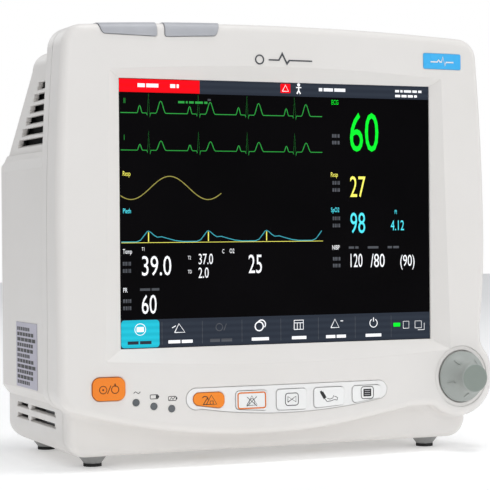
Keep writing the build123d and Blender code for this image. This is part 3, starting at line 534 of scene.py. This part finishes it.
def bump(x, z, half_width, height, count=8):
    """A rounded hump of a trace, from its left foot to its right foot."""
    points = []
    for i in range(count + 1):
        turn = -math.pi + 2 * math.pi * i / count
        points.append((x + half_width * turn / math.pi, z + height * (1 + math.cos(turn)) / 2))
    return points


def heart_trace(base, tall, t_wave):
    """Four beats: a small P, a sharp QRS and a taller T."""
    points = [(TRACE_L, base)]
    for beat in range(BEATS):
        x = BEAT_X + BEAT_PITCH * beat
        points += bump(x - 5.6, base, 1.7, t_wave * 0.62) + [(x - 1.3, base)]
        points += [(x - 0.8, base - tall * 0.12), (x, base + tall), (x + 0.8, base - tall * 0.2)]
        points += [(x + 1.3, base)] + bump(x + 7.7, base, 3.2, t_wave, 10)
    return points + [(TRACE_R, base)]


def breath_trace():
    points = []
    for i in range(BREATH_STEPS + 1):
        x = BREATH_L + i * BREATH_W / BREATH_STEPS
        turn = 2 * math.pi * (x - BREATH_START) / BREATH_WAVE
        points.append((x, BREATH_Z + BREATH_SWING * math.sin(turn)))
    return points


def pulse_beats():
    return [PULSE_X + PULSE_PITCH * beat for beat in range(BEATS)]


def pulse_trace():
    points = [(TRACE_L, PULSE_Z)]
    for x in pulse_beats():
        points += [(x + dx, PULSE_Z + dz) for dx, dz in PULSE_SHAPE if x + dx < TRACE_R]
    return points


def dashes(x, z, spans, height=1.3, gap=0.9):
    """A short run of unreadable marks where small print would stand."""
    marks = []
    for span in spans:
        marks.append(tile(sx(x), sx(x + span), sz(z), sz(z + height)))
        x += span + gap
    return marks


def make_picture():
    lay_on_screen("picture_bars", [
        tile(sx(ALARM_R), SCREEN_R, sz(TOP_BAR_Z), SCREEN_T),
        tile(SCREEN_L, SCREEN_R, sz(-79.4), sz(MENU_BAR_Z)),
    ], BAR, 1)
    lay_on_screen("picture_alarm_banner", [
        tile(SCREEN_L + 0.5 * MM, sx(ALARM_R), sz(TOP_BAR_Z + 0.2), SCREEN_T - 0.3 * MM),
        tile(sx(1.0), sx(7.6), sz(73.4), sz(79.0), 0.4 * MM),
    ], RED, 4)
    lay_on_screen("picture_menu_tab", [tile(sx(-103.0), sx(-79.0), sz(-79.2), sz(-62.9), 2.0 * MM)], TAB, 6)
    lay_on_screen("picture_heart_traces", [
        line(heart_trace(59.4, 11.4, 7.2), 0.6), line(heart_trace(37.4, 11.2, 5.6), 0.6),
        figure("II", -100.5, 65.0, 3.2), figure("I", -100.5, 43.4, 3.2),
    ] + dashes(-66, 65.6, (4, 1.2, 3, 5, 2)), GREEN, 4)
    lay_on_screen("picture_breath_trace", [line(breath_trace(), 0.6)], DIM_YELLOW, 4)
    lay_on_screen("picture_pulse_trace", [line(pulse_trace(), 0.6)], TEAL, 5)
    marks = [line([(x, PULSE_Z + 0.1), (x, PULSE_Z + 5.7)], 0.6) for x in pulse_beats() if x < TRACE_R - 1]
    marks.append(line([(TRACE_L, PULSE_Z - 0.5), (TRACE_R, PULSE_Z - 0.5)], 0.3))
    lay_on_screen("picture_pulse_marks", marks, YELLOW, 4)
    lay_on_screen("picture_heart_rate", [
        figure("60", 47.2, 38.4, 25.2), figure("ECG", 35.4, 67.0, 3.0),
    ], BRIGHT_GREEN, 4)
    lay_on_screen("picture_breath_rate", [
        figure("27", 47.6, 10.0, 13.6, 0.6), figure("Resp", 34.6, 22.4, 3.0),
        figure("Resp", -101.4, 22.2, 3.0),
    ], YELLOW, 4)
    lay_on_screen("picture_oxygen", [
        figure("98", 47.6, -12.4, 13.4, 0.6), figure("4.12", 76.2, -10.9, 6.6, 0.62),
        figure("SpO2", 34.6, 0.6, 3.0), figure("PI", 79.0, -0.6, 2.6), figure("Pleth", -101.4, 0.2, 3.0),
    ], CYAN, 4)
    lay_on_screen("picture_white_figures", [
        figure("120", 46.6, -33.6, 8.8, 0.54), figure("/80", 61.8, -33.8, 8.8, 0.66),
        figure("(90)", 82.4, -33.4, 7.4, 0.66), figure("NIBP", 35.2, -22.6, 2.9),
        figure("39.0", -90.4, -36.6, 12.2, 0.68), figure("37.0", -54.0, -30.4, 6.6, 0.63),
        figure("2.0", -54.0, -38.6, 6.6, 0.63), figure("25", -21.4, -36.2, 11.8, 0.6),
        figure("60", -90.4, -59.2, 11.8, 0.62), figure("Temp", -101.6, -23.6, 2.9),
        figure("T1", -89.8, -22.0, 2.2), figure("T2", -60.6, -27.4, 2.2), figure("TD", -60.6, -35.8, 2.2),
        figure("O2", -33.6, -24.0, 2.9), figure("PR", -101.6, -46.4, 2.9), figure("C", -38.4, -24.0, 2.6),
    ] + dashes(26.9, 75.0, (2.4, 6.4, 7.6), 2.0) + dashes(80.0, 75.6, (2.8, 1.6, 5.2, 3.2, 2.4), 1.5)
        + dashes(80.0, 72.6, (3.6, 3.6, 3.6, 2.0), 1.5), WHITE, 7)
    lay_on_screen("picture_patient_sign", [
        dot(sx(13.2), sz(78.6), 1.0 * MM), line([(13.2, 77.4), (13.2, 75.2), (12.0, 73.0)], 0.9),
        line([(13.2, 75.2), (14.4, 73.0)], 0.9), line([(11.4, 76.9), (15.0, 76.9)], 0.7),
        line([(2.2, 74.4), (4.3, 78.2), (6.4, 74.4), (2.2, 74.4)], 0.5),
    ], WHITE, 10)
    banner = dashes(-91.6, 74.6, (4.6, 7.6), 2.2) + dashes(-71.0, 74.6, (3.2, 1.4), 2.2)
    lay_on_screen("picture_banner_marks", banner, WHITE, 10)
    limits = []
    for x, rows in ((LIMIT_X, LIMIT_Z), (LOW_LIMIT_X, LOW_LIMIT_Z)):
        for z in rows:
            limits += dashes(x, z, (1.1, 1.1, 0.4, 1.1), 2.2, 0.45)
    for x, z, spans in ((46.8, -22.2, (3.6, 2.2)), (60.0, -22.2, (7.4,)), (74.0, -22.2, (3, 4)),
                        (-91.0, -45.6, (6.4, 4.8))):
        limits += dashes(x, z, spans, 1.4)
    limits += dashes(-47.0, 67.4, (2,), 1.2)
    lay_on_screen("picture_small_grey", limits, GREY, 3)


def box_line(x0, x1, z0, z1, width):
    return line([(x0, z0), (x1, z0), (x1, z1), (x0, z1), (x0, z0)], width)


def tab_icons():
    """One plain sign on each menu tab."""
    z = SIGN_Z
    screen = [tile(sx(-93.4), sx(-88.8), sz(z - 1.5), sz(z + 1.5), 0.4 * MM)]
    screen.append(line(arc(-91.1, z, 3.4, 0, 360, 20), 0.5, True))
    bell = [line([(-69.4, z - 2.4), (-66.6, z + 2.8), (-62.8, z - 2.4), (-69.4, z - 2.4)], 0.6),
            line([(-71.0, z + 0.4), (-68.6, z + 1.6)], 0.6)]
    sheets = [line(arc(-14.4, z - 0.2, 2.7, 0, 360, 16), 0.9, True),
              line(arc(-12.9, z + 0.9, 2.7, -40, 140, 10), 0.8)]
    table = [box_line(9.0, 15.2, z - 2.8, z + 2.8, 0.6), line([(9.0, z + 1.2), (15.2, z + 1.2)], 0.5)]
    table += [line([(x, z + 1.2), (x, z - 2.8)], 0.4) for x in (11.1, 13.1)]
    setup = [line([(34.0, z - 2.4), (36.8, z + 2.8), (39.6, z - 2.4), (34.0, z - 2.4)], 0.6),
             line([(40.6, z + 1.6), (42.4, z + 1.6)], 0.6)]
    standby = [line(arc(63.6, z - 0.3, 2.6, 120, 420, 16), 0.6), line([(63.6, z + 0.6), (63.6, z + 3.2)], 0.6)]
    marks = []
    for x, spans in ((-73.4, (7.6, 7.0)), (-19.4, (11.4,)), (7.4, (9.8,)), (30.6, (6.4, 6.4)),
                     (58.0, (11.0,))):
        marks += dashes(x, TAB_MARK_Z, spans, 1.9)
    marks += [box_line(x, x + 4.0 + wide, z - 4.2, z + 0.2, 0.4) for x, wide in ((84.6, 0), (93.0, 0.6))]
    marks.append(line([(95.0, z - 5.4), (99.6, z - 5.4), (99.6, z - 1.2)], 0.4))
    lay_on_screen("picture_tab_signs", screen + bell + sheets + table + setup + standby + marks, WHITE, 12)
    dim = [line(arc(-40.6, z, 2.2, 0, 360, 12), 0.6, True), line([(-37.6, z - 2), (-36.0, z + 2)], 0.6)]
    dim += [line([(x, -64.2), (x, -77.8)], 0.25) for x in TAB_EDGES]
    lay_on_screen("picture_tab_dim_signs", dim + dashes(-46.6, TAB_MARK_Z, (6.4, 7.0), 1.9), GREY, 10)
    charge = tile(sx(77.6), sx(82.4), sz(z - 3.0), sz(z - 0.6), 0.3 * MM)
    lay_on_screen("picture_battery_sign", [charge], BRIGHT_GREEN, 10)
    lay_on_screen("picture_main_menu_marks", dashes(-99.0, TAB_MARK_Z, (6.8, 7.2), 1.9), BAR, 10)


# ---------------------------------------------------------------- printed signs on the front
# The front is a shallow crown across, CROWN_R in radius, and leans back by LEAN radians.
FACE_Y = GLASS_Y - 8.6 * MM
CROWN_R = 1.972
LEAN = 0.01396
KEY_PROUD = 1.0 * MM
PRINT = 0.03 * MM


def ink(name, low, high):
    return moulded(name, low, high, (0.4, 0.5), 0.0004, 0.000004)


DARK_PRINT = ink("dark_print", (0.012, 0.012, 0.014), (0.025, 0.025, 0.028))
BROWN_PRINT = ink("brown_print", (0.055, 0.014, 0.002), (0.08, 0.022, 0.004))
ORANGE_PRINT = ink("orange_print", (0.90, 0.20, 0.012), (0.95, 0.25, 0.02))
WHITE_PRINT = ink("white_print", (0.92, 0.93, 0.95), (0.97, 0.97, 0.98))


def print_on_front(name, pieces, material, x, z, proud=0.0, body="housing"):
    """Sets a sign drawn about (0, 0) on the crowned, leaning front, proud of it by proud."""
    y = FACE_Y + x * x / (2 * CROWN_R) + LEAN * (z - MID_Z)
    return lay(name, pieces, material, (x, y - proud - PRINT, z), (-LEAN, 0, x / CROWN_R), body=body)


def sign(points, width, closed=False):
    return stroke([(x * MM, z * MM) for x, z in points], width * MM, closed)


def key_middle(node):
    low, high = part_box(node)
    return (low.x + high.x) / 2, (low.z + high.z) / 2


def key_sign(name, pieces, material, key, body, dx=0.0, dz=0.0, above=0.0):
    x, z = key_middle(key)
    return print_on_front(name, pieces, material, x + dx * MM, z + dz * MM,
                          KEY_PROUD + above * MM, body)


def make_key_signs():
    key_sign("power_sign", [
        sign(arc(-3.6, -0.3, 2.2, 0, 360, 20), 0.5, True), dot(-3.6 * MM, -0.3 * MM, 0.55 * MM),
        sign([(-1.1, -2.6), (1.1, 2.2)], 0.5),
        sign(arc(3.6, -0.3, 2.2, 0, 360, 20), 0.5, True), sign([(3.6, 1.5), (3.6, 3.2)], 0.7),
    ], BROWN_PRINT, "power_key", "power_button")
    key_sign("alarm_reset_sign", [
        sign([(-2.4, -2.6), (0.8, 2.9), (4.2, -2.6), (-2.4, -2.6)], 0.55),
        sign([(0.0, -2.4), (0.0, -0.6), (1.9, -0.6), (1.9, -2.4)], 0.45),
        sign(arc(-3.2, 0.4, 1.9, 150, -10, 8), 0.6), sign([(-4.4, -2.5), (-1.6, 1.4)], 0.5),
        sign([(-4.6, -2.5), (-2.4, -2.5)], 0.55),
    ], DARK_PRINT, "alarm_reset_key", "alarm_reset_button", 0.6, 0.2)
    key_sign("alarm_pause_sign", [
        sign([(-3.4, -2.7), (0, 3.0), (3.4, -2.7), (-3.4, -2.7)], 0.45),
        sign([(-1.9, -2.4), (-1.6, 0.2), (0, 1.4), (1.6, 0.2), (1.9, -2.4)], 0.4),
        sign([(-3.2, 2.4), (3.2, -3.2)], 0.4), sign([(3.2, 2.4), (-3.2, -3.2)], 0.4),
    ], DARK_PRINT, "alarm_pause_key", "alarm_pause_button")
    low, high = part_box("alarm_pause_key")
    half_w = (high.x - low.x) / 2 / MM - 2.4
    half_h = (high.z - low.z) / 2 / MM - 2.5
    key_sign("alarm_pause_border", [sign(rounded_loop(-half_w, half_w, -half_h, half_h, 1.4), 0.95)],
             ORANGE_PRINT, "alarm_pause_key", "alarm_pause_button", 0, 0.2)
    key_sign("freeze_sign", [
        sign(rounded_loop(-4.3, 4.3, -3.7, 3.7, 1.7), 0.55),
        sign([(-2.7, -1.7), (-2.7, 1.7), (2.7, -1.7), (2.7, 1.7), (-2.7, -1.7)], 0.5),
    ], DARK_PRINT, "freeze_key", "freeze_button")
    key_sign("cuff_sign", [
        sign([(-5.2, 3.2), (-2.8, -0.6)], 2.5), sign([(-5.9, 3.9), (-4.2, 1.2)], 1.6),
        sign([(-3.0, -1.0), (-1.6, -2.6), (1.2, -2.3), (3.4, -1.6), (5.3, -2.0), (5.7, -0.4),
              (3.6, 0.4)], 0.45),
        sign([(-1.4, -0.6), (0.4, -1.2), (2.4, -0.6), (3.0, 0.9)], 0.45),
    ], DARK_PRINT, "cuff_key", "cuff_button")
    key_sign("menu_sign", [
        sign(rounded_loop(-4.3, 4.3, -3.7, 3.7, 1.7), 0.55),
        tile(-2.7 * MM, 2.7 * MM, -2.3 * MM, 2.3 * MM, 0.3 * MM),
    ], DARK_PRINT, "menu_key", "menu_button", 0.4, 0.6)
    key_sign("menu_sign_lines", [sign([(-1.9, z), (1.9, z)], 0.3) for z in (-1.2, 0, 1.2)],
             WHITE_PRINT, "menu_key", "menu_button", 0.4, 0.6, 0.03)


def cell_outline():
    return [sign(rounded_loop(-2.6, 2.2, -1.2, 1.2, 0.5), 0.45), sign([(2.6, -0.6), (2.6, 0.6)], 0.5)]


def make_light_signs():
    low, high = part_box("indicator_lights")
    light_r = 2.1 * MM
    left, right = low.x + light_r, high.x - light_r
    high_z, low_z = high.z - light_r, low.z + light_r
    wave = [(-2.0, -0.5), (-1.5, 0.2), (-0.8, 0.6), (0, 0), (0.8, -0.6), (1.5, -0.2), (2.0, 0.5)]
    print_on_front("mains_light_sign", [sign(wave, 0.45)], DARK_PRINT, left + 0.6 * MM,
                   high_z + 5.8 * MM)
    level = cell_outline() + [tile(0.9 * MM, 1.9 * MM, -0.9 * MM, 0.9 * MM)]
    print_on_front("battery_light_sign", level, DARK_PRINT, (left + right) / 2 + 0.3 * MM,
                   low_z + 7.4 * MM)
    spark = cell_outline() + [sign([(-1.9, -0.9), (-0.6, 0.6), (0.2, -0.6), (1.6, 0.9)], 0.5)]
    print_on_front("charge_light_sign", spark, DARK_PRINT, right + 0.6 * MM,
                   low_z + 6.0 * MM)


def make_badge_sign():
    low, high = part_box("badge_plate")
    pulse = [(-8.5, -0.4), (-3.6, -0.4), (-2.6, 1.0), (-1.6, -0.4), (-0.4, -0.4), (0.6, 2.9), (2.0, -2.6),
             (3.0, -0.4), (8.5, -0.4)]
    print_on_front("badge_sign", [sign(pulse, 1.1)], WHITE_PRINT, (low.x + high.x) / 2,
                   (low.z + high.z) / 2, 0.2 * MM)


# ---------------------------------------------------------------- labels and legends on the other sides
LABEL_ROWS = 11
LABEL_PITCH = 3.3
PLATE_W, PLATE_H = 72, 38
PLATE_X, PLATE_Z = 22, 118


def make_side_label_marks():
    """Rows of unreadable small print on the label of the left side."""
    low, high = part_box("side_label")
    width = (high.y - low.y) / MM
    marks = []
    z = (high.z - low.z) / MM - 4.0
    for row in range(LABEL_ROWS):
        x = 2.4
        for i in range(7):
            span = 3.0 + (row * 7 + i * 5) % 5
            end = 10.0 if row == 0 else 2.6
            if x + span < width - end:
                marks.append(tile(x * MM, (x + span) * MM, (z - 1.1) * MM, (z + 1.1) * MM))
            x += span + 0.9
        z -= LABEL_PITCH
    lay("side_label_print", marks, DARK_PRINT, (low.x - 0.02 * MM, high.y, low.z),
        (0, 0, -math.pi / 2), PRINT)


def dashes_mm(x, z, spans, height=1.2, gap=0.8):
    marks = []
    for span in spans:
        marks.append(tile(x * MM, (x + span) * MM, z * MM, (z + height) * MM))
        x += span + gap
    return marks


def make_rear_label():
    """The rating plate on the back, with a frame, lines of small print and two round signs."""
    back_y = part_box("rear_case")[1].y
    paper = moulded("rating_plate_film", (0.70, 0.71, 0.72), (0.75, 0.76, 0.77), (0.3, 0.4), 0.003)
    turn = (0, 0, math.pi)
    lay("rating_plate", [tile(0, PLATE_W * MM, 0, PLATE_H * MM, 2 * MM)], paper,
        (PLATE_X * MM, back_y - 0.02 * MM, PLATE_Z * MM), turn, 0.04 * MM)
    marks = [sign(rounded_loop(1.5, PLATE_W - 1.5, 1.5, PLATE_H - 1.5, 1.4), 0.35)]
    for row in range(6):
        marks += dashes_mm(5, 31 - 4.2 * row, [4 + (row * 3 + i * 5) % 6 for i in range(5)])
    for z in (27, 14):
        marks.append(sign(arc(56, z, 4.2, 0, 360, 20), 0.5, True))
    marks += [sign([(53.5, 27), (58.5, 27)], 0.5), sign([(56, 24.5), (56, 29.5)], 0.5)]
    marks.append(sign([(53.6, 12.4), (58.4, 15.8)], 0.5))
    lay("rating_plate_print", marks, DARK_PRINT,
        (PLATE_X * MM, back_y - 0.005 * MM, PLATE_Z * MM), turn, PRINT)


def make_port_legends():
    back_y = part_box("rear_panel")[1].y
    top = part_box("rear_panel")[1].z - 9 * MM
    marks = []
    for node in ("network_port", "usb_ports"):
        low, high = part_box(node)
        middle = -(low.x + high.x) / 2 / MM
        marks += dashes_mm(middle - 4, (high.z + 2.2 * MM - top) / MM, (3.2, 3.8), 1.3)
    lay("port_legends", marks, DARK_PRINT, (0, back_y + 0.02 * MM, top),
        (0, 0, math.pi), PRINT)


def make_socket_legends():
    """Short marks above the patient sockets on the right side."""
    panel_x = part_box("connector_panel")[1].x
    marks = []
    for node in ("ecg_socket", "spo2_socket", "oxygen_socket", "cuff_hose_port"):
        low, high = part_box(node)
        marks += dashes_mm((low.y + high.y) / 2 / MM - 5.5, high.z / MM + 0.9, (4.6, 2.6, 2.4), 1.5)
    low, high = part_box("temperature_sockets")
    marks += dashes_mm(low.y / MM, high.z / MM + 1.2, (4.6, 2.6), 1.5)
    marks += dashes_mm(high.y / MM - 8, high.z / MM + 1.2, (4.6, 2.6), 1.5)
    lay("socket_legends", marks, WHITE_PRINT, (panel_x + 0.02 * MM, 0, 0),
        (0, 0, math.pi / 2), PRINT)


# Places of the near-black sheets of painted shade inside the side vents.
VENT_SHADE_X = 130.2 * MM
VENT_SHADE_Y = (-50 * MM, -4 * MM, 34 * MM)
VENT_SHADE_Z = (188 * MM, 233.5 * MM)


def make_vent_shade_sheets():
    """Near-black sheets inside the vents of the upper case: painted shade that makes the slots look dark."""
    # Near-black colour: painted shade for the dark inside of the vents.
    vent_shade = moulded("painted_vent_shade", (0.004, 0.004, 0.004), (0.012, 0.012, 0.012), (0.85, 0.95), 0.0009,
                    0.0001)
    front, top_back, low_back = VENT_SHADE_Y
    low, top = VENT_SHADE_Z
    for side, name in ((-1, "vent_shade_sheet_left"), (1, "vent_shade_sheet_right")):
        x = side * VENT_SHADE_X
        draw_through([(x, front, low), (x, low_back, low), (x, top_back, top), (x, front, top)])
        bpy.ops.mesh.select_all(action="SELECT")
        bpy.ops.mesh.edge_face_add()
        bpy.ops.mesh.normals_make_consistent(inside=False)
        bpy.ops.object.mode_set(mode="OBJECT")
        finish_modifier("SOLIDIFY", thickness=0.6 * MM, offset=0)
        settle(name, vent_shade)


PIN_R, PIN_H = 0.45 * MM, 3.2 * MM


def contact_pins(name, node, ring_r, count, depth):
    """Short gold contacts that stand on the floor of a round socket."""
    low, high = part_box(node)
    y = (low.y + high.y) / 2
    z = (low.z + high.z) / 2
    floor_x = high.x - depth
    pins = []
    for i in range(count):
        angle = 2 * math.pi * i / count
        spot = (floor_x + PIN_H / 2, y + ring_r * math.cos(angle), z + ring_r * math.sin(angle))
        bpy.ops.mesh.primitive_cylinder_add(radius=PIN_R, depth=PIN_H, vertices=16, location=spot,
                                            rotation=(0, math.pi / 2, 0))
        bpy.ops.object.transform_apply(location=True, rotation=True, scale=True)
        finish_modifier("BEVEL", width=0.15 * MM, segments=2)
        pins.append(bpy.context.object)
    join(pins)
    settle(name, FINISHES["brass"])


# ---------------------------------------------------------------- put it together
def make_floor():
    bpy.ops.mesh.primitive_plane_add(size=8, location=(0, 0, 0))
    floor = bpy.context.object
    floor.name = "floor"
    paper = moulded("pale_floor", (0.90, 0.90, 0.90), (0.93, 0.93, 0.93), (0.6, 0.75), 0.002, patch=0.6,
                    edge=0.0)
    shader = paper.node_tree.nodes["Principled BSDF"]
    shader.inputs["Emission Color"].default_value = (1, 1, 1, 1)
    shader.inputs["Emission Strength"].default_value = 0.22
    floor.data.materials.append(paper)
    bpy.ops.object.select_all(action="DESELECT")


place_camera()
studio()
make_floor()
make_picture()
tab_icons()
make_key_signs()
make_light_signs()
make_badge_sign()
make_side_label_marks()
make_rear_label()
make_port_legends()
make_socket_legends()
# Painted shade: near-black sheets behind the vent slots.
make_vent_shade_sheets()
contact_pins("ecg_pins", "ecg_socket", 4.2 * MM, 8, 12.0 * MM)
contact_pins("spo2_pins", "spo2_socket", 3.2 * MM, 6, 11.0 * MM)
contact_pins("oxygen_pins", "oxygen_socket", 2.8 * MM, 4, 11.0 * MM)
